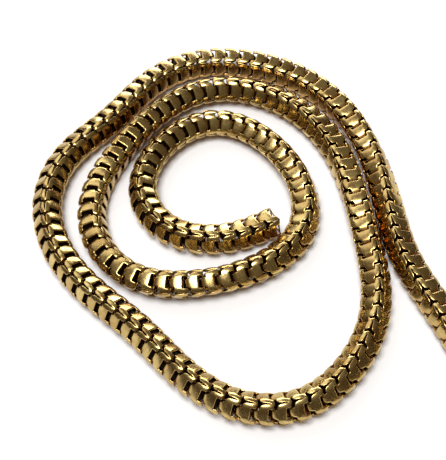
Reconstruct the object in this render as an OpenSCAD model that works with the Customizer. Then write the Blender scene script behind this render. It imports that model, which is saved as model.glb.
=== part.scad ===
// Gentlemen's pocket watch chain: a square snake chain of stamped links lying in a loose coil,
// with a bare end in the middle of the coil and a swivel snap hook on the outer end.
// Units are millimetres, +Z is up and the chain lies on the plane z = 0.

/* [Link] */
// Distance from one link to the next, along the chain
link_pitch = 2.2; // [2.1:0.05:2.3]
// Width of a link across its flat faces, at the wide collar
link_width = 4.0; // [3.8:0.05:4.0]
// Width of a link across its cut corners
corner_width = 4.24; // [4.1:0.02:4.3]
// Thickness of the stamped metal
wall = 0.2; // [0.18:0.01:0.24]
// How much the faces lean inwards for each millimetre of length
lean = 0.19; // [0.17:0.01:0.21]
// Length of the link in front of its joint with the link before
collar_reach = 1.05; // [1.0:0.01:1.08]
// Length of the link behind its middle, to the end of its tabs
tab_reach = 1.85; // [1.7:0.05:1.9]
// Width of the notch that takes the next tab
notch_width = 1.5; // [1.3:0.05:1.6]
// Depth of that notch
notch_depth = 0.6; // [0.4:0.05:0.7]

/* [Snap hook] */
// Outer radius of the hook's loop
loop_outer = 5.0; // [4.8:0.1:5.2]
// Inner radius of the hook's loop
loop_inner = 3.6; // [3.5:0.1:3.8]
// Thickness of the hook
hook_thick = 2.2; // [2.0:0.1:2.4]
// Radius of the hole across the end cup
eye_bore = 0.6; // [0.5:0.05:0.7]
// Radius of the swivel's stem
stem_radius = 0.7; // [0.6:0.05:0.8]

/* [Hidden] */
half = link_width / 2;
half_corner = corner_width / 2;
link_count = 180;
run_length = 4;
single_count = 4;
run_count = (link_count - 2 * single_count) / run_length;
flat_half = half_corner * sqrt(2) - half;
vertex_radius = norm([half, flat_half]);
vertex_angle = atan2(flat_half, half);

// Each link as a node, then the runs of four links, then the fittings of the outer end

// Where the middle of the coil stands in the part's own frame
coil_at = [-4.3, 11.6];
// The chain's way over the table, as control points of a smooth curve, from the bare end outwards
route = [
    [15.5, 5], [7.5, 1.5], [0.5, -2.5], [-9, -1], [-13.5, 7.5], [-9.5, 16.5], [-1.5, 21.5], [6.5, 17.5],
    [12, 9.5], [13, 0], [6.5, -6.5], [-3, -9.5], [-12, -9.5], [-19, -3], [-20, 6.5], [-15.5, 15],
    [-10.5, 22], [-3, 27.5], [6.5, 26.5], [14, 21], [18.5, 13], [20, 4], [21.5, -4.5], [22, -13.5],
    [18, -22], [11, -28.5], [1.5, -28.5], [-6, -23], [-11.5, -16], [-19, -10.5], [-24.5, -3.5], [-27, 5.5],
    [-24, 14.5], [-17, 20], [-12.5, 28], [-4.5, 33], [5, 32.5], [13.5, 29], [19.5, 22], [23, 13.5],
    [24.5, 4.5], [25.5, -4.5], [29.5, -12], [34, -21.5], [35.5, -30.5], [32, -41.5], [28, -53]
];
// How far the chain is rolled about its own length, as pairs of link number and degrees
roll_marks = [
    [1, 17], [8, 30], [13, 28], [20, 47], [28, 21], [33, 33], [42, 70], [50, 68], [62, 126],
    [70, 147], [76, 163], [83, 199], [88, 217], [92, 227], [98, 221], [106, 218], [116, 203], [122, 226],
    [132, 256], [142, 266], [149, 270], [156, 303], [161, 329], [166, 342], [180, 360]
];
curve_steps = 16;

// One point of a cubic B-spline through four control points
function spline_point(p, t) =
    (p[0] * pow(1 - t, 3) + p[1] * (3 * pow(t, 3) - 6 * t * t + 4)
        + p[2] * (3 * t * t + 3 * t + 1 - 3 * pow(t, 3)) + p[3] * pow(t, 3)) / 6;
curve = [
    for (k = [0 : len(route) - 4], j = [0 : curve_steps - 1])
        coil_at + spline_point([for (m = [0 : 3]) route[k + m]], j / curve_steps)
];
// Distance along the curve to each of its points
function add_up(steps, k = 0, sum = 0) =
    k >= len(steps) ? [] : concat([sum + steps[k]], add_up(steps, k + 1, sum + steps[k]));
travel = concat([0], add_up([for (k = [1 : len(curve) - 1]) norm(curve[k] - curve[k - 1])]));
x_table = [for (k = [0 : len(curve) - 1]) [travel[k], curve[k][0]]];
y_table = [for (k = [0 : len(curve) - 1]) [travel[k], curve[k][1]]];

function roll_at(n) = lookup(n, roll_marks);
// Height of the chain's axis when its section rests on the table at that roll
function rest_height(roll) =
    let (r = abs(roll % 90), folded = min(r, 90 - r)) vertex_radius * cos(folded - vertex_angle);
// The joint in front of link n, counted from 1 at the bare end
function joint_at(n) =
    let (s = (n - 1) * link_pitch) [lookup(s, x_table), lookup(s, y_table), rest_height(roll_at(n))];
function heading(v) = atan2(v[1], v[0]);
function climb(v) = asin(v[2] / norm(v));

// Places its children in link n's own frame: x along the chain towards the snap hook
module at_link(n) {
    near = joint_at(n);
    far = joint_at(n + 1);
    translate((near + far) / 2)
        rotate([0, -climb(far - near), heading(far - near)])
            rotate([roll_at(n), 0, 0])
                children();
}

// Slab between two leaning faces that are r from the axis at the collar's edge
module leaning_slab(r, front, back) {
    rotate([90, 0, 0]) translate([0, 0, -link_width]) linear_extrude(2 * link_width)
        polygon([
            [-front, r - lean * (collar_reach - front)],
            [back, r - lean * (collar_reach + back)],
            [back, -r + lean * (collar_reach + back)],
            [-front, -r + lean * (collar_reach - front)]
        ]);
}

// Eight-sided funnel that narrows towards the tabs
module funnel(r, r_corner, front, back) {
    intersection() {
        leaning_slab(r, front, back);
        rotate([90, 0, 0]) leaning_slab(r, front, back);
        rotate([45, 0, 0]) leaning_slab(r_corner, front, back);
        rotate([-45, 0, 0]) leaning_slab(r_corner, front, back);
    }
}

// Slit through two opposite corners, opening from just behind the collar to the shoulders
// and wide beside the tabs
module corner_slits() {
    slit_start = -0.7;
    shoulder = 0.95;
    rotate([45, 0, 0]) translate([0, 0, -link_width]) linear_extrude(2 * link_width)
        polygon([
            [slit_start, -0.1], [shoulder, -0.42], [shoulder, -0.66], [tab_reach + 1, -0.78],
            [tab_reach + 1, 0.78], [shoulder, 0.66], [shoulder, 0.42], [slit_start, 0.1]
        ]);
}

module notches() {
    notch_end = notch_depth - collar_reach;
    translate([notch_end - 2, -notch_width / 2, -link_width])
        cube([2, notch_width, 2 * link_width]);
    translate([notch_end - 2, -link_width, -notch_width / 2])
        cube([2, 2 * link_width, notch_width]);
}

// One stamped link: a short square collar with a notch in each face, and four faces that
// run back between the corner slits and end in tabs
module link() {
    difference() {
        funnel(half, half_corner, collar_reach, tab_reach);
        funnel(half - wall, half_corner - wall, collar_reach + 1, tab_reach + 1);
        corner_slits();
        rotate([90, 0, 0]) corner_slits();
        notches();
    }
}

module single(n) {
    color("darkgoldenrod") at_link(n) link();
}

// Four neighbouring links, each a separate solid
module run(k) {
    first = single_count + run_length * (k - 1);
    color(k % 2 == 0 ? "goldenrod" : "darkgoldenrod")
        for (i = [1 : run_length])
            at_link(first + i) link();
}

// ---- Fittings of the outer end, drawn with the last joint at the origin, x away from the coil

// Crosswise hole of the end cup, where the fork turns
pin_x = 3.2;
lug_radius = 1.25;
lug_half = 0.7;
ear_gap = 0.15;
ear_thick = 0.65;
// Back face of the fork's base, then of the hook's barrel
base_x = pin_x + lug_radius + 0.25;
base_thick = 0.7;
barrel_x = base_x + base_thick + 0.2;
barrel_length = 3.2;
barrel_radius = 1.9;
head_radius = 1.15;
head_thick = 0.7;
head_x = barrel_x + 1.8;
loop_x = barrel_x + barrel_length - 0.6 + loop_outer;
loop_mid = (loop_outer + loop_inner) / 2;
// The gate's hinge pin stands on the middle of the loop's section
hinge_angle = 125;
hinge = [loop_x + loop_mid * cos(hinge_angle), loop_mid * sin(hinge_angle)];
knuckle = 0.9;
knuckle_room = 1.1;
tongue_half = 0.5;
tongue_low = 0.05;
gate_pin_radius = 0.4;
tip_angle = 57;
nose_angle = 48;
lip_thick = 0.4;

module at_tail() {
    at_link(link_count) translate([link_pitch / 2, 0, 0]) children();
}

// Sector of a flat ring between two angles, its middle at the loop's middle
module sector(r_in, r_out, from, to, low, high) {
    translate([loop_x, 0, low]) linear_extrude(high - low)
        intersection() {
            difference() {
                circle(r = r_out, $fn = 96);
                circle(r = r_in, $fn = 96);
            }
            polygon(concat([[0, 0]], [
                for (k = [0 : 4])
                    let (angle = from + (to - from) * k / 4) 2 * r_out * [cos(angle), sin(angle)]
            ]));
        }
}

// Eight-sided cup that closes over the last link's tabs, with a cross-drilled lug
module end_cup() {
    color("goldenrod") {
        difference() {
            translate([0.05, 0, 0]) intersection() {
                translate([0, -half, -half]) cube([1.65, 2 * half, 2 * half]);
                rotate([45, 0, 0])
                    translate([0, -half_corner, -half_corner]) cube([1.65, 2 * half_corner, 2 * half_corner]);
            }
            translate([-link_pitch / 2, 0, 0]) funnel(half, half_corner, collar_reach, tab_reach);
        }
        rotate([90, 0, 0]) translate([0, 0, -lug_half]) linear_extrude(2 * lug_half)
            difference() {
                union() {
                    translate([pin_x, 0]) circle(r = lug_radius, $fn = 48);
                    translate([1.6, -lug_radius]) square([pin_x - 1.6, 2 * lug_radius]);
                }
                translate([pin_x, 0]) circle(r = eye_bore, $fn = 32);
            }
    }
}

module ear(side) {
    middle = side * (lug_half + ear_gap + ear_thick / 2);
    translate([0, middle, 0]) rotate([90, 0, 0])
        translate([0, 0, -ear_thick / 2]) linear_extrude(ear_thick)
            difference() {
                union() {
                    translate([pin_x, 0]) circle(r = lug_radius, $fn = 48);
                    translate([pin_x, -lug_radius]) square([base_x - pin_x + 0.1, 2 * lug_radius]);
                }
                translate([pin_x, 0]) circle(r = eye_bore - 0.05, $fn = 32);
            }
}

// Two ears on a base, with a stem and a riveted head that the hook turns on
module swivel_fork() {
    fork_half = lug_half + ear_gap + ear_thick;
    color("goldenrod") {
        ear(1);
        ear(-1);
        translate([base_x, -fork_half, -lug_radius])
            cube([base_thick, 2 * fork_half, 2 * lug_radius]);
        translate([base_x, 0, 0]) rotate([0, 90, 0])
            cylinder(r = stem_radius, h = head_x - base_x + head_thick, $fn = 48);
        translate([head_x, 0, 0]) rotate([0, 90, 0])
            cylinder(r = head_radius, h = head_thick, $fn = 48);
    }
}

module fork_pin() {
    pin_half = lug_half + ear_gap + ear_thick;
    color("peru") translate([pin_x, 0, 0]) rotate([90, 0, 0])
        cylinder(r = eye_bore - 0.05, h = 2 * pin_half, center = true, $fn = 32);
}

// Barrel that turns on the fork's stem, and a loop that is open at one side for the gate
module hook() {
    z = hook_thick / 2;
    nose_room = norm([loop_x + loop_inner * cos(tip_angle) - hinge[0], 1]) + 0.9;
    color("goldenrod") difference() {
        union() {
            translate([barrel_x, 0, 0]) rotate([0, 90, 0])
                cylinder(r = barrel_radius, h = barrel_length, $fn = 64);
            difference() {
                sector(loop_inner, loop_outer, 146, 360 + nose_angle + 6, -z, z);
                translate([hinge[0], hinge[1], -z - 1])
                    cylinder(r = knuckle_room, h = hook_thick + 2, $fn = 48);
                translate([hinge[0], hinge[1], -z - 1])
                    intersection() {
                        cylinder(r = nose_room, h = hook_thick + 2, $fn = 96);
                        translate([2, -2.6, -1]) cube([8, 6, hook_thick + 4]);
                    }
            }
            sector(loop_outer - lip_thick, loop_outer, nose_angle - 2, tip_angle + 5, -z, z);
            sector(loop_inner, loop_outer, hinge_angle, 150, -tongue_half, -tongue_low);
            translate([hinge[0], hinge[1], -tongue_half])
                cylinder(r = knuckle, h = tongue_half - tongue_low, $fn = 48);
        }
        translate([barrel_x - 1, 0, 0]) rotate([0, 90, 0])
            cylinder(r = stem_radius + 0.05, h = barrel_length, $fn = 48);
        translate([head_x - 0.1, 0, 0]) rotate([0, 90, 0])
            cylinder(r = head_radius + 0.1, h = head_thick + 0.25, $fn = 48);
        translate([hinge[0], hinge[1], -z])
            cylinder(r = gate_pin_radius, h = hook_thick, $fn = 32);
    }
}

// Spring-loaded gate: a bar with two cheeks either side of the hook's tongue
module gate() {
    z = hook_thick / 2;
    slot = tongue_half + 0.1;
    color("darkgoldenrod") difference() {
        union() {
            sector(loop_inner + 0.1, loop_outer - 0.1, tip_angle, hinge_angle, -z, z);
            translate([hinge[0], hinge[1], -z])
                cylinder(r = knuckle, h = hook_thick, $fn = 48);
        }
        translate([hinge[0], hinge[1], -slot])
            cylinder(r = knuckle_room, h = 2 * slot, $fn = 48);
        sector(loop_outer - lip_thick - 0.15, loop_outer + 1, tip_angle - 4, tip_angle + 7, -z - 1, z + 1);
        translate([hinge[0], hinge[1], -z - 1])
            cylinder(r = gate_pin_radius + 0.03, h = hook_thick + 2, $fn = 32);
    }
}

module gate_pin() {
    color("peru") translate([hinge[0], hinge[1], -hook_thick / 2])
        cylinder(r = gate_pin_radius, h = hook_thick, $fn = 32);
}

// Torsion spring of two and a half turns round the gate's pin
module gate_spring() {
    wire = 0.07;
    coil_radius = 0.62;
    steps = 25;
    color("silver") translate([hinge[0], hinge[1], 0.08])
        for (k = [0 : steps - 1])
            hull()
                for (end = [k, k + 1])
                    rotate([0, 0, 36 * end]) translate([coil_radius, 0, 0.014 * end])
                        rotate([90, 0, 0]) cylinder(r = wire, h = 0.02, center = true, $fn = 6);
}

single(1);  // link_001
single(2);  // link_002
single(3);  // link_003
single(4);  // link_004
run(1);  // run_01
run(2);  // run_02
run(3);  // run_03
run(4);  // run_04
run(5);  // run_05
run(6);  // run_06
run(7);  // run_07
run(8);  // run_08
run(9);  // run_09
run(10);  // run_10
run(11);  // run_11
run(12);  // run_12
run(13);  // run_13
run(14);  // run_14
run(15);  // run_15
run(16);  // run_16
run(17);  // run_17
run(18);  // run_18
run(19);  // run_19
run(20);  // run_20
run(21);  // run_21
run(22);  // run_22
run(23);  // run_23
run(24);  // run_24
run(25);  // run_25
run(26);  // run_26
run(27);  // run_27
run(28);  // run_28
run(29);  // run_29
run(30);  // run_30
run(31);  // run_31
run(32);  // run_32
run(33);  // run_33
run(34);  // run_34
run(35);  // run_35
run(36);  // run_36
run(37);  // run_37
run(38);  // run_38
run(39);  // run_39
run(40);  // run_40
run(41);  // run_41
run(42);  // run_42
run(43);  // run_43
single(177);  // link_177
single(178);  // link_178
single(179);  // link_179
single(180);  // link_180
at_tail() end_cup();
at_tail() swivel_fork();
at_tail() fork_pin();
at_tail() hook();
at_tail() gate();
at_tail() gate_pin();
at_tail() gate_spring();
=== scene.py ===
"""Looks of the pocket watch chain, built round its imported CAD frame.

Lengths are worked out in millimetres, as in the part's own source, and scaled to metres when a mesh is made.
"""
import math

import bmesh
import bpy
import numpy as np
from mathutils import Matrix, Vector


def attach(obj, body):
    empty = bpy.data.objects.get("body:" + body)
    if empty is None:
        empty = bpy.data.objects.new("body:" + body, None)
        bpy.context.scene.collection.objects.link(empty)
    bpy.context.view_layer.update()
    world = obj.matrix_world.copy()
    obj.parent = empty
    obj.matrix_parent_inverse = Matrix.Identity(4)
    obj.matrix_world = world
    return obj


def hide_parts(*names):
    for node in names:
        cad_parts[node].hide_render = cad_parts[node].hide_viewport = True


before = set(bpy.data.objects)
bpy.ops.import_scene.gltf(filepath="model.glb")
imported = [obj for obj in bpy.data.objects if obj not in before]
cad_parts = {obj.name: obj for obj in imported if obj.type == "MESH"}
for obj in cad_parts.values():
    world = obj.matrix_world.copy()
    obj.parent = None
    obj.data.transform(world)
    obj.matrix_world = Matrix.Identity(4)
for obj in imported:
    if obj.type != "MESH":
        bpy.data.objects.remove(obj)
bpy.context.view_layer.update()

MM = 0.001

# ---- The chain's route, as in the part's source ----
# the pitch of the links, and how far a face and a corner of the chain stand from its axis
LINK_PITCH = 2.2
HALF_WIDTH = 2.0
HALF_CORNER = 2.12
# the links at each end that have a node of their own, and the links in each run between them
LINK_COUNT = 180
SINGLE_COUNT = 4
RUN_LENGTH = 4
CURVE_STEPS = 16
COIL_AT = np.array([-4.3, 11.6])
ROUTE = [
    (15.5, 5), (7.5, 1.5), (0.5, -2.5), (-9, -1), (-13.5, 7.5), (-9.5, 16.5), (-1.5, 21.5), (6.5, 17.5),
    (12, 9.5), (13, 0), (6.5, -6.5), (-3, -9.5), (-12, -9.5), (-19, -3), (-20, 6.5), (-15.5, 15),
    (-10.5, 22), (-3, 27.5), (6.5, 26.5), (14, 21), (18.5, 13), (20, 4), (21.5, -4.5), (22, -13.5),
    (18, -22), (11, -28.5), (1.5, -28.5), (-6, -23), (-11.5, -16), (-19, -10.5), (-24.5, -3.5), (-27, 5.5),
    (-24, 14.5), (-17, 20), (-12.5, 28), (-4.5, 33), (5, 32.5), (13.5, 29), (19.5, 22), (23, 13.5),
    (24.5, 4.5), (25.5, -4.5), (29.5, -12), (34, -21.5), (35.5, -30.5), (32, -41.5), (28, -53),
]
ROLL_MARKS = [
    (1, 17), (8, 30), (13, 28), (20, 47), (28, 21), (33, 33), (42, 70), (50, 68), (62, 126),
    (70, 147), (76, 163), (83, 199), (88, 217), (92, 227), (98, 221), (106, 218), (116, 203), (122, 226),
    (132, 256), (142, 266), (149, 270), (156, 303), (161, 329), (166, 342), (180, 360),
]


def spline_point(p, t):
    """One point of a cubic B-spline through four control points."""
    return (p[0] * (1 - t) ** 3 + p[1] * (3 * t**3 - 6 * t**2 + 4)
            + p[2] * (3 * t**2 + 3 * t + 1 - 3 * t**3) + p[3] * t**3) / 6


ROUTE_POINTS = np.array(ROUTE, float)
CURVE = np.array([
    COIL_AT + spline_point(ROUTE_POINTS[k:k + 4], j / CURVE_STEPS)
    for k in range(len(ROUTE) - 3)
    for j in range(CURVE_STEPS)
])
TRAVEL = np.concatenate([[0], np.cumsum(np.linalg.norm(np.diff(CURVE, axis=0), axis=1))])
FLAT_HALF = HALF_CORNER * math.sqrt(2) - HALF_WIDTH
VERTEX_RADIUS = math.hypot(HALF_WIDTH, FLAT_HALF)
VERTEX_ANGLE = math.atan2(FLAT_HALF, HALF_WIDTH)


def roll_at(n):
    """How far link n is rolled about the chain's length, in degrees."""
    return float(np.interp(n, *zip(*ROLL_MARKS)))


def rest_height(roll):
    """Height of the chain's axis when its section rests on the table at that roll."""
    turned = abs(roll) % 90
    folded = math.radians(min(turned, 90 - turned))
    return VERTEX_RADIUS * math.cos(folded - VERTEX_ANGLE)


def joint_at(n):
    """The joint in front of link n, counted from 1 at the bare end."""
    along = (n - 1) * LINK_PITCH
    return np.array([
        np.interp(along, TRAVEL, CURVE[:, 0]),
        np.interp(along, TRAVEL, CURVE[:, 1]),
        rest_height(roll_at(n)),
    ])


def turn(axis, angle):
    """Matrix of a turn about the x, y or z axis."""
    c, s = math.cos(angle), math.sin(angle)
    i, j = [(1, 2), (2, 0), (0, 1)]["xyz".index(axis)]
    m = np.eye(3)
    m[i, i] = m[j, j] = c
    m[i, j], m[j, i] = -s, s
    return m


def link_place(n):
    """Turn and middle of link n: its own x runs along the chain towards the snap hook."""
    near, far = joint_at(n), joint_at(n + 1)
    step = far - near
    heading = math.atan2(step[1], step[0])
    climb = math.asin(step[2] / np.linalg.norm(step))
    turned = turn("z", heading) @ turn("y", -climb) @ turn("x", math.radians(roll_at(n)))
    return turned, (near + far) / 2


# ---- One stamped link ----
METAL = 0.24
# places along the link, from the front edge of its collar to where a tab's hook begins
COLLAR_X = -1.05
SLIT_START = -0.80
NOTCH_END = -0.38
SHOULDER_X = 0.83
TAB_END = 1.62
# half breadths: of the notch, of a tab at its end and its root, and of a face at its shoulders
NOTCH_HALF = 0.89
TAB_HALF = 0.57
TAB_ROOT_HALF = 0.77
SHOULDER_HALF = 1.02
# length that a shoulder rounds off over, and how far the collar's corners point forward
THUMB = 0.62
PROW = 0.26
# the section: half of a face's flat part, how far it is crowned, and from its middle round to the corner
FLAT = 0.66
CROWN = 0.03
CORNER_ARC = 1.74
# rows of points along the body and the tab and round the hook, and columns as shares of each strip
BODY_ROWS = [COLLAR_X, -0.94, SLIT_START, -0.56, NOTCH_END, -0.10, 0.21, 0.48, 0.70, SHOULDER_X]
TAB_ROWS = [1.02, 1.24, 1.46, TAB_END]
HOOK_STEPS = 3
INNER_COLUMNS = [-1, -0.76, 0, 0.76, 1]
OUTER_COLUMNS = [0.2, 0.56, 0.84, 1]


def face_distance(x):
    """How far a face stands from the link's axis: crowned along its length, then the tab bends down."""
    if x <= SHOULDER_X:
        u = (x - COLLAR_X) / (SHOULDER_X - COLLAR_X)
        lip = 0.07 * max(0, (SLIT_START - x) / (SLIT_START - COLLAR_X)) ** 2
        return 1.89 + 0.46 * u - 0.62 * u**2 + 0.13 * u**3 - lip
    u = (x - SHOULDER_X) / (TAB_END - SHOULDER_X)
    return 1.86 - 0.13 * u - 0.30 * u**2


def plate_half(x):
    """Half of a face's breadth round the section: whole at the collar, then narrowing to its shoulders."""
    if x <= SLIT_START:
        return CORNER_ARC
    u = (x - SLIT_START) / (SHOULDER_X - SLIT_START)
    side = CORNER_ARC - 0.05 - 0.12 * u**1.5
    if x < SHOULDER_X - THUMB:
        return side
    v = (x - SHOULDER_X + THUMB) / THUMB
    return side - (side - SHOULDER_HALF) * (1 - math.sqrt(max(0, 1 - v**2.2)))


def inner_half(x):
    """Half of the breadth of a face's middle strip, which the notch takes in front and the tab is behind."""
    if x <= NOTCH_END:
        return NOTCH_HALF
    if x <= SHOULDER_X:
        u = (x - NOTCH_END) / (SHOULDER_X - NOTCH_END)
        return NOTCH_HALF + (TAB_ROOT_HALF - NOTCH_HALF) * u
    u = (x - SHOULDER_X) / (TAB_END - SHOULDER_X)
    return TAB_ROOT_HALF + (TAB_HALF - TAB_ROOT_HALF) * min(1, 1.3 * u)


def section_point(x, s):
    """Point of the rounded square section at x, s along it from the middle of the top face."""
    high = face_distance(x)
    side = abs(s)
    if x < SLIT_START:
        x -= PROW * (side / CORNER_ARC) ** 4 * (SLIT_START - x) / (SLIT_START - COLLAR_X)
    if side <= FLAT:
        return (x, s, high - CROWN * (side / FLAT) ** 2)
    radius = high - FLAT
    angle = (side - FLAT) / (CORNER_ARC - FLAT) * math.pi / 4
    across = FLAT + radius * math.sin(angle)
    up = high - radius * (1 - math.cos(angle)) - CROWN * math.cos(2 * angle)
    return (x, math.copysign(across, s), up)


def hook_point(c, u):
    """Point of the hook that a tab ends in, c from -1 to 1 across it and u from 0 to 1 along it."""
    x, _, root = section_point(TAB_END, 0)
    half = inner_half(TAB_END) * (1 - 0.4 * u)
    return (x + 0.14 * math.sin(u * math.pi / 2), c * half, root - u**1.3 * (root - 0.36))


def add_face(bm):
    """One of the four faces: collar with its notch, plate with rounded shoulders, and tab."""
    grid = {}
    left = [-c for c in reversed(OUTER_COLUMNS)]
    rows = BODY_ROWS + TAB_ROWS
    for i, x in enumerate(rows):
        inner, outer = inner_half(x), plate_half(x)
        breadth = [c * inner for c in INNER_COLUMNS]
        if x <= SHOULDER_X:
            breadth = ([-inner + c * (outer - inner) for c in left] + breadth
                       + [inner + c * (outer - inner) for c in OUTER_COLUMNS])
            first = 0
        else:
            first = len(left)
        for k, s in enumerate(breadth):
            grid[i, first + k] = bm.verts.new(section_point(x, s))
    for j in range(1, HOOK_STEPS + 1):
        for k, c in enumerate(INNER_COLUMNS):
            grid[len(rows) - 1 + j, len(left) + k] = bm.verts.new(hook_point(c, j / HOOK_STEPS))
    notch_rows = BODY_ROWS.index(NOTCH_END)
    inner_first, inner_last = len(left), len(left) + len(INNER_COLUMNS) - 1
    for (i, k) in list(grid):
        corners = [(i, k), (i + 1, k), (i + 1, k + 1), (i, k + 1)]
        in_notch = i < notch_rows and inner_first <= k < inner_last
        if not in_notch and all(c in grid for c in corners):
            bm.faces.new([grid[c] for c in corners])


def link_mesh(name):
    """The mesh of one link's body: four faces round a square section, with thickness and rolled edges."""
    bm = bmesh.new()
    add_face(bm)
    face = bm.verts[:] + bm.edges[:] + bm.faces[:]
    for quarter in (1, 2, 3):
        copy = bmesh.ops.duplicate(bm, geom=face)["geom"]
        verts = [g for g in copy if isinstance(g, bmesh.types.BMVert)]
        for v in verts:
            v.co = turn("x", quarter * math.pi / 2) @ np.array(v.co)
    bmesh.ops.remove_doubles(bm, verts=bm.verts, dist=0.004)
    bmesh.ops.delete(bm, geom=[v for v in bm.verts if not v.link_faces], context="VERTS")
    bmesh.ops.recalc_face_normals(bm, faces=bm.faces)
    mesh = bpy.data.meshes.new(name)
    bm.to_mesh(mesh)
    bm.free()
    obj = bpy.data.objects.new(name, mesh)
    bpy.context.scene.collection.objects.link(obj)
    # the shell is open, so its faces are turned outwards by the first one's own side
    first = mesh.polygons[0]
    outwards = first.normal.y * first.center.y + first.normal.z * first.center.z
    solid = obj.modifiers.new("metal", "SOLIDIFY")
    solid.thickness = METAL
    solid.offset = -1 if outwards > 0 else 1
    solid.use_even_offset = True
    # the inner side takes the second, dark material: darker tarnish and painted shade
    solid.material_offset = 1
    obj.modifiers.new("rolled_edges", "SUBSURF").levels = 1
    shaped = bpy.data.meshes.new_from_object(
        obj.evaluated_get(bpy.context.evaluated_depsgraph_get()))
    bpy.data.objects.remove(obj)
    return shaped


def mesh_arrays(mesh):
    """Corner points, faces and each face's material number."""
    points = np.array([v.co for v in mesh.vertices], float)
    faces = [tuple(p.vertices) for p in mesh.polygons]
    slots = [p.material_index for p in mesh.polygons]
    return points, faces, slots


def around(sides):
    """Cosine and sine of each corner of a shape with that many sides."""
    angles = [2 * math.pi * (k + 0.5) / sides for k in range(sides)]
    return [(math.cos(a), math.sin(a)) for a in angles]


def web_arrays():
    """The web across the inside of a link, that its faces are folded from."""
    front, thick, sides = -0.22, 0.44, 40
    reach = face_distance(0.1) - METAL + 0.03
    outline = []
    for c, s in around(sides):
        radius = reach / (abs(c) ** 3 + abs(s) ** 3) ** (1 / 3)
        outline.append((c * radius, s * radius))
    points = [(x, y, z) for x in (front, front + thick) for y, z in outline]
    faces = [tuple(range(sides)), tuple(reversed(range(sides, 2 * sides)))]
    faces += [(k, k + sides, (k + 1) % sides + sides, (k + 1) % sides) for k in range(sides)]
    # the web takes the dark inside material too: darker tarnish and painted shade
    return np.array(points, float), faces, [1] * len(faces)


def ring_arrays():
    """The square ring inside a link's collar, that the tabs of the link in front hook behind."""
    front, thick, sides = -1.15, 0.14, 48
    # half of the ring's width, the width of its bars, and how far its corners reach out to the collar
    reach, bar, corner = 1.27, 0.22, 0.12
    loops = [[], [], [], []]
    for c, s in around(sides):
        square = 1 / max(abs(c), abs(s))
        outer = reach * square + corner * abs(2 * s * c) ** 6
        inner = (reach - bar) * square
        for loop, back, radius in zip(loops, (0, thick, thick, 0), (outer, outer, inner, inner)):
            loop.append((front + back, c * radius, s * radius))
    points = sum(loops, [])
    faces = []
    for a in range(4):
        b = (a + 1) % 4
        faces += [(a * sides + k, a * sides + (k + 1) % sides, b * sides + (k + 1) % sides, b * sides + k)
                  for k in range(sides)]
    return np.array(points, float), faces, [0] * len(faces)


# ---- Materials ----
def node(tree, kind, **settings):
    """A node with those inputs and properties."""
    made = tree.nodes.new(kind)
    for key, value in settings.items():
        if key in made.inputs:
            made.inputs[key].default_value = value
        else:
            setattr(made, key, value)
    return made


def ramp(tree, source, stops):
    """A colour ramp through stops of position and colour or grey."""
    made = tree.nodes.new("ShaderNodeValToRGB")
    elements = made.color_ramp.elements
    while len(elements) < len(stops):
        elements.new(0.5)
    for element, (position, colour) in zip(elements, stops):
        element.position = position
        element.color = (*colour, 1) if isinstance(colour, tuple) else (colour, colour, colour, 1)
    tree.links.new(source, made.inputs["Fac"])
    return made.outputs["Color"]


def mix(tree, factor, a, b, blend="MIX"):
    """A mix of two colours, each a socket or a value."""
    made = tree.nodes.new("ShaderNodeMix")
    made.data_type = "RGBA"
    made.blend_type = blend
    for socket, value in ((made.inputs[0], factor), (made.inputs[6], a), (made.inputs[7], b)):
        if isinstance(value, bpy.types.NodeSocket):
            tree.links.new(value, socket)
        elif isinstance(value, tuple):
            socket.default_value = (*value, 1)
        else:
            socket.default_value = value
    return made.outputs[2]


def maths(tree, operation, a, b, clamp=False):
    """A sum, product or such of two numbers, each a socket or a value."""
    made = tree.nodes.new("ShaderNodeMath")
    made.operation = operation
    made.use_clamp = clamp
    for socket, value in zip(made.inputs, (a, b)):
        if isinstance(value, bpy.types.NodeSocket):
            tree.links.new(value, socket)
        else:
            socket.default_value = value
    return made.outputs[0]


def noise(tree, scale, detail=3.0, roughness=0.55):
    """Noise fixed to the piece, at a scale in cells to the metre."""
    place = tree.nodes.new("ShaderNodeTexCoord")
    made = node(tree, "ShaderNodeTexNoise", Scale=scale, Detail=detail, Roughness=roughness)
    tree.links.new(place.outputs["Object"], made.inputs["Vector"])
    return made.outputs["Fac"]


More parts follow.
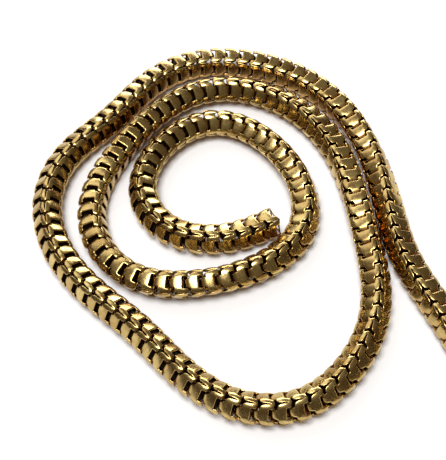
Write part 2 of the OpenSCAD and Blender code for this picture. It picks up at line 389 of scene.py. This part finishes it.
def brass(name, bright, deep, patina_and_shade, dark_inside=False, base_roughness=0.19):
    """Old brass: worn bright where it is rubbed, darker in patches, with brown patina and painted shade in
    its recesses, and painted shade with an amber painted reflection low down beside the table.
    """
    material = bpy.data.materials.new(name)
    material.use_nodes = True
    tree = material.node_tree
    shader = tree.nodes["Principled BSDF"]
    shader.inputs["Metallic"].default_value = 1.0
    cloud = ramp(tree, noise(tree, 420, 4), [(0.36, 0.0), (0.66, 1.0)])
    fine = ramp(tree, noise(tree, 2600, 5, 0.65), [(0.38, 0.0), (0.7, 1.0)])
    tone = node(tree, "ShaderNodeAttribute", attribute_name="tone")
    colour = mix(tree, cloud, bright, deep)
    colour = mix(tree, maths(tree, "MULTIPLY", tone.outputs["Fac"], 0.45), colour, deep)
    # brown patina and painted shade: where a crease, notch or tab's tip is closely hemmed in, the colour
    # goes towards the dark patina colour
    hollow = node(tree, "ShaderNodeAmbientOcclusion", Distance=0.45 * MM, samples=8)
    recess = ramp(tree, hollow.outputs["AO"], [(0.3, 1.0), (0.86, 0.0)])
    recess = maths(tree, "MULTIPLY", recess, maths(tree, "ADD", maths(tree, "MULTIPLY", cloud, 0.35), 0.65))
    # for the insides nearly all of the surface goes to the dark colour: darker tarnish and painted shade
    if dark_inside:
        recess = maths(tree, "ADD", recess, 0.85, clamp=True)
    speck = maths(tree, "MULTIPLY", fine, 0.10)
    stain_and_shade = maths(tree, "ADD", recess, speck, clamp=True)
    # painted shade: faces hemmed in by the table and nearby turns are darkened and tinted amber, a painted
    # reflection of brass and the white table
    sunk = node(tree, "ShaderNodeAmbientOcclusion", Distance=2.4 * MM, samples=8)
    table_shade = ramp(tree, sunk.outputs["AO"], [(0.3, 0.9), (0.95, 0.0)])
    colour = mix(tree, table_shade, colour, mix(tree, 1.0, colour, (0.84, 0.50, 0.18), "MULTIPLY"))
    colour = mix(tree, stain_and_shade, colour, patina_and_shade)
    tree.links.new(colour, shader.inputs["Base Color"])
    rough = maths(tree, "ADD", maths(tree, "MULTIPLY", fine, 0.12), base_roughness)
    rough = maths(tree, "ADD", rough, maths(tree, "MULTIPLY", recess, 0.3), clamp=True)
    tree.links.new(rough, shader.inputs["Roughness"])
    bump = node(tree, "ShaderNodeBump", Strength=0.2, Distance=0.012 * MM)
    tree.links.new(noise(tree, 1900, 5, 0.7), bump.inputs["Height"])
    tree.links.new(bump.outputs["Normal"], shader.inputs["Normal"])
    return material


def steel(name):
    """Drawn spring wire: grey, with fine scratches."""
    material = bpy.data.materials.new(name)
    material.use_nodes = True
    tree = material.node_tree
    shader = tree.nodes["Principled BSDF"]
    shader.inputs["Metallic"].default_value = 1.0
    scratch = noise(tree, 5200, 3)
    tree.links.new(mix(tree, scratch, (0.42, 0.41, 0.4), (0.62, 0.6, 0.57)), shader.inputs["Base Color"])
    rough = maths(tree, "ADD", maths(tree, "MULTIPLY", scratch, 0.25), 0.2)
    tree.links.new(rough, shader.inputs["Roughness"])
    return material


chain_outer = brass("chain_brass", (0.71, 0.55, 0.22), (0.42, 0.27, 0.095), (0.030, 0.016, 0.006))
# the links' inner sides and webs: dark tarnished brass, almost all patina colour, as painted shade
chain_inner = brass("chain_recess", (0.22, 0.13, 0.05), (0.13, 0.07, 0.025), (0.012, 0.007, 0.004),
                    dark_inside=True, base_roughness=0.45)
fitting_brass = brass("fitting_brass", (0.66, 0.49, 0.21), (0.42, 0.27, 0.09), (0.05, 0.026, 0.01),
                      base_roughness=0.3)
pin_brass = brass("pin_brass", (0.70, 0.52, 0.23), (0.50, 0.35, 0.13), (0.05, 0.026, 0.01),
                  base_roughness=0.33)
spring_steel = steel("spring_steel")

# ---- The links ----
LINK_TONES = np.random.default_rng(7).random(LINK_COUNT + 1)
ONE_POINTS, ONE_FACES, ONE_SLOTS = mesh_arrays(link_mesh("link"))
for extra_points, extra_faces, extra_slots in (web_arrays(), ring_arrays()):
    ONE_FACES += [tuple(k + len(ONE_POINTS) for k in f) for f in extra_faces]
    ONE_POINTS = np.concatenate([ONE_POINTS, extra_points])
    ONE_SLOTS += extra_slots


def links_piece(name, cad_node, numbers):
    """A piece with the links of those numbers, in place of a CAD node."""
    points, faces, slots, tones = [], [], [], []
    for n in numbers:
        turned, middle = link_place(n)
        base = sum(len(p) for p in points)
        points.append((ONE_POINTS @ turned.T + middle) * MM)
        faces += [tuple(k + base for k in f) for f in ONE_FACES]
        slots += ONE_SLOTS
        tones += [LINK_TONES[n]] * len(ONE_POINTS)
    mesh = bpy.data.meshes.new(name)
    mesh.from_pydata(np.concatenate(points).tolist(), [], faces)
    mesh.materials.append(chain_outer)
    mesh.materials.append(chain_inner)
    mesh.polygons.foreach_set("material_index", slots)
    attribute = mesh.attributes.new("tone", "FLOAT", "POINT")
    attribute.data.foreach_set("value", tones)
    mesh.shade_smooth()
    piece = bpy.data.objects.new(name, mesh)
    bpy.context.scene.collection.objects.link(piece)
    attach(piece, cad_node)
    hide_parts(cad_node)


LAST_RUN_LINK = LINK_COUNT - SINGLE_COUNT
for n in range(1, LINK_COUNT + 1):
    if n <= SINGLE_COUNT or n > LAST_RUN_LINK:
        links_piece(f"chain_link_{n:03d}", f"link_{n:03d}", [n])
RUN_COUNT = (LAST_RUN_LINK - SINGLE_COUNT) // RUN_LENGTH
for k in range(1, RUN_COUNT + 1):
    first = SINGLE_COUNT + RUN_LENGTH * (k - 1) + 1
    links_piece(f"chain_run_{k:02d}", f"run_{k:02d}", range(first, first + RUN_LENGTH))

# ---- The fittings keep their CAD meshes, under modifiers that soften their corners ----
FITTINGS = {
    "end_cup": fitting_brass, "swivel_fork": fitting_brass, "hook": fitting_brass, "gate": fitting_brass,
    "fork_pin": pin_brass, "gate_pin": pin_brass, "gate_spring": spring_steel,
}
# how many times each fitting's corners are smoothed, as by casting, filing and wear
WORN = {"hook": 12, "gate": 10, "end_cup": 4, "swivel_fork": 3}
WORN_GRID = 0.1 * MM
for name, material in FITTINGS.items():
    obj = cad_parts[name]
    obj.data.materials.clear()
    obj.data.materials.append(material)
    if name in WORN:
        even = obj.modifiers.new("even_grid", "REMESH")
        even.mode = "VOXEL"
        even.voxel_size = WORN_GRID
        even.use_smooth_shade = True
        worn = obj.modifiers.new("worn_edges", "SMOOTH")
        worn.factor = 0.5
        worn.iterations = WORN[name]

# ---- Table, light and camera ----
TABLE_HALF = 6


def table():
    """A plain white table, wide enough to fill every view."""
    mesh = bpy.data.meshes.new("table")
    h = TABLE_HALF
    mesh.from_pydata([(-h, -h, 0), (h, -h, 0), (h, h, 0), (-h, h, 0)], [], [(0, 1, 2, 3)])
    material = bpy.data.materials.new("white_table")
    material.use_nodes = True
    shader = material.node_tree.nodes["Principled BSDF"]
    shader.inputs["Base Color"].default_value = (0.90, 0.90, 0.91, 1)
    shader.inputs["Roughness"].default_value = 0.7
    shader.inputs["Specular IOR Level"].default_value = 0.2
    mesh.materials.append(material)
    obj = bpy.data.objects.new("table", mesh)
    bpy.context.scene.collection.objects.link(obj)


def lamp(name, place, target, size, power):
    """A soft white lamp."""
    data = bpy.data.lights.new(name, "AREA")
    data.shape = "RECTANGLE"
    data.size, data.size_y = size
    data.energy = power
    obj = bpy.data.objects.new(name, data)
    bpy.context.scene.collection.objects.link(obj)
    aim(obj, place, target)


def aim(obj, place, target):
    """Put a lamp or camera at a place, looking at the target."""
    obj.location = place
    obj.rotation_mode = "QUATERNION"
    obj.rotation_quaternion = (Vector(target) - Vector(place)).to_track_quat("-Z", "Y")


MIDDLE = (COIL_AT[0] * MM, COIL_AT[1] * MM, 2.1 * MM)
table()
lamp("top_light", (MIDDLE[0] - 0.06, MIDDLE[1] - 0.09, 0.50), MIDDLE, (0.24, 0.24), 2.55)
lamp("back_light", (MIDDLE[0] - 0.26, MIDDLE[1] + 0.34, 0.36), MIDDLE, (0.44, 0.44), 0.9)
lamp("low_light", (MIDDLE[0] + 0.05, MIDDLE[1] + 0.60, 0.12), MIDDLE, (0.50, 0.16), 2.0)

world = bpy.data.worlds.new("room")
world.use_nodes = True
sky = world.node_tree
direction = sky.nodes.new("ShaderNodeTexCoord")
upwards = sky.nodes.new("ShaderNodeSeparateXYZ")
sky.links.new(direction.outputs["Generated"], upwards.inputs[0])
room = ramp(sky, upwards.outputs["Z"], [(0.0, (0.08, 0.06, 0.04)), (0.35, (0.14, 0.11, 0.08)),
                                     (0.8, (0.26, 0.23, 0.18)), (1.0, (0.34, 0.31, 0.27))])
sky.links.new(room, sky.nodes["Background"].inputs["Color"])
sky.nodes["Background"].inputs["Strength"].default_value = 0.8
bpy.context.scene.world = world

camera_data = bpy.data.cameras.new("camera")
camera_data.sensor_width = 36
camera_data.lens = 84.5
camera = bpy.data.objects.new("camera", camera_data)
bpy.context.scene.collection.objects.link(camera)
aim(camera, (MIDDLE[0], MIDDLE[1] - 85.85 * MM, 134.3 * MM), MIDDLE)
camera_data.clip_start, camera_data.clip_end = 0.005, 5
bpy.context.scene.camera = camera
bpy.context.scene.view_settings.view_transform = "Standard"
